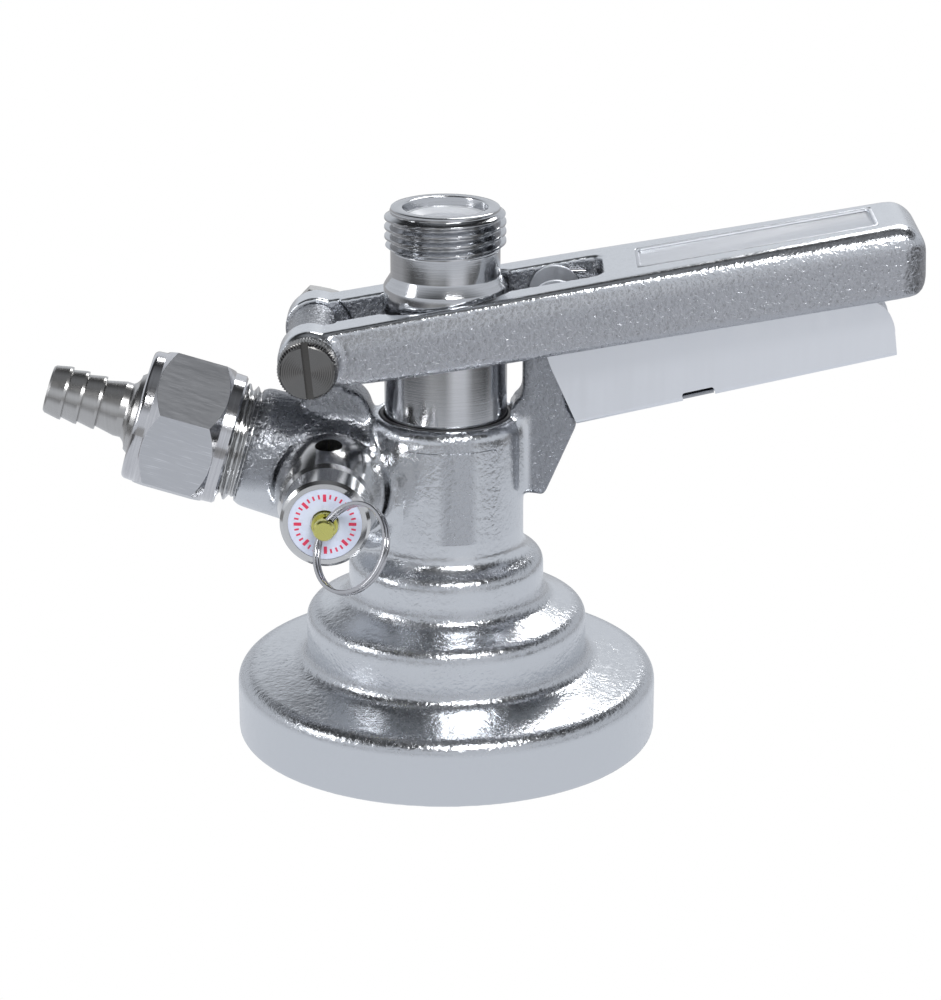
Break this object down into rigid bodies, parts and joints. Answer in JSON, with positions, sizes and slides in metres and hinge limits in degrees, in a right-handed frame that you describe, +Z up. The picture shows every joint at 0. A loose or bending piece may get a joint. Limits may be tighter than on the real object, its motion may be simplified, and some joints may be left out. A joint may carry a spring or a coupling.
{
  "type": "keg coupler",
  "caption": "Slide-on beer keg coupler: stepped chrome body, lever handle with latch trigger, sliding probe with threaded outlet, gas hose barb and pull-ring relief valve.",
  "frame": {"origin": "on the probe axis at the plane of the base's bottom face, the centre of the keg flange slot", "axes": "+Z up along the probe towards the beer outlet, +X towards the handle's grip, -Y towards the relief valve; the keg flange enters from +Y"},
  "size_m": [0.1663, 0.0873, 0.1046],
  "materials": {
    "cast_chrome": "chrome-plated casting, satin, slightly rough cast skin",
    "handle_chrome": "chrome-plated casting, pebbled sides, ground smooth top",
    "steel_polished": "turned and polished stainless steel",
    "steel_brushed": "brushed stainless steel with fine scratches",
    "steel_sheet": "pale satin stainless sheet",
    "nickel": "bright nickel plate, turned",
    "screw_steel": "dark turned steel",
    "brass": "bare yellow brass",
    "ring_steel": "bright flat spring wire",
    "rubber": "black moulded rubber",
    "white_plastic": "white acetal",
    "label_white": "white enamelled disc, plain red ticks",
    "spring_steel": "spring wire"
  },
  "bodies": {
    "base": {"body_casting": "cast_chrome", "probe_wiper": "rubber", "keg_seal": "rubber", "inlet_nut": "steel_brushed", "inlet_washer": "rubber", "inlet_barb": "steel_brushed", "gas_check_valve": "rubber", "relief_housing": "nickel", "relief_cap": "nickel", "relief_disc": "label_white", "relief_spring": "spring_steel"},
    "handle": {"handle_casting": "handle_chrome", "pivot_screw": "screw_steel", "pivot_nut": "steel_brushed", "trigger_pins": "steel_polished", "trigger_springs": "spring_steel"},
    "trigger": {"trigger": "steel_sheet"},
    "probe": {"probe_tube": "steel_polished", "probe_tip_seal": "rubber", "probe_oring": "rubber", "outlet_fitting": "steel_polished", "outlet_liner": "white_plastic"},
    "ball": {"check_ball": "steel_polished"},
    "stem": {"relief_stem": "brass", "relief_poppet": "rubber"},
    "ring": {"pull_ring": "ring_steel"}
  },
  "joints": [
    {"name": "handle_hinge", "type": "hinge", "parent": "base", "child": "handle", "pos_m": [-0.025, 0, 0.0784], "axis": [0, 1, 0], "range_deg": [0, 18]},
    {"name": "trigger_hinge", "type": "hinge", "parent": "handle", "child": "trigger", "pos_m": [0.0207, 0, 0.0869], "axis": [0, -1, 0], "range_deg": [0, 8], "stiffness_Nm_per_rad": 0.1, "springref_deg": -17.19},
    {"name": "probe_slide", "type": "slide", "parent": "base", "child": "probe", "axis": [0, 0, -1], "range_m": [0, 0.00795]},
    {"name": "ball_lift", "type": "slide", "parent": "probe", "child": "ball", "axis": [0, 0, 1], "range_m": [0, 0.006]},
    {"name": "relief_pull", "type": "slide", "parent": "base", "child": "stem", "axis": [0, -1, 0], "range_m": [0, 0.0025], "stiffness_N_per_m": 800, "springref_m": -0.005, "deforming": ["relief_spring"]},
    {"name": "ring_swing", "type": "hinge", "parent": "stem", "child": "ring", "pos_m": [-0.0216, -0.0333, 0.0524], "axis": [0.4756, 0.1842, 0.8601], "range_deg": [-115, 38]}
  ],
  "couplings": [
    {"joint": "probe_slide", "follows": "handle_hinge", "m_per_rad": 0.02515}
  ]
}
